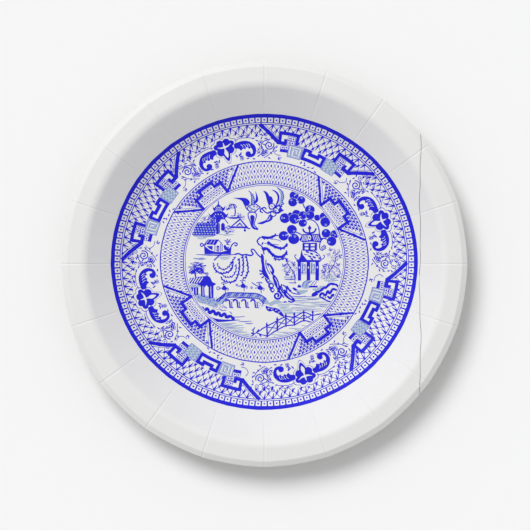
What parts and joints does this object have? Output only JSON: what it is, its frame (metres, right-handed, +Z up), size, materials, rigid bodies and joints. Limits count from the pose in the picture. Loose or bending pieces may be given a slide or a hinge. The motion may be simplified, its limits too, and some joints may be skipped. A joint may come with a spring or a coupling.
{
  "type": "paper dinner plate",
  "caption": "Round pressed paperboard dinner plate with pleated wall, flange and turned-down rim, faced with a sheet printed in a blue chinoiserie pattern.",
  "frame": {"origin": "middle of the flat foot, on the surface that the plate stands on", "axes": "+Z up out of the dish, +Y towards the top of the printed scene, +X towards the sheet's straight trimmed edge"},
  "size_m": [0.2285, 0.2286, 0.0195],
  "materials": {
    "board": "satin",
    "sheet": "satin",
    "blue_ink": "satin",
    "pale_ink": "satin"
  },
  "bodies": {
    "root": {"board_shell": "board", "face_sheet": "sheet", "ink_outer_ring": "blue_ink", "ink_border_lines": "blue_ink", "ink_fret_panels": "blue_ink", "ink_flower_panels": "blue_ink", "ink_step_panels": "blue_ink", "ink_lattice_lines": "blue_ink", "ink_scene": "blue_ink", "ink_pale_blocks": "pale_ink"}
  },
  "joints": []
}
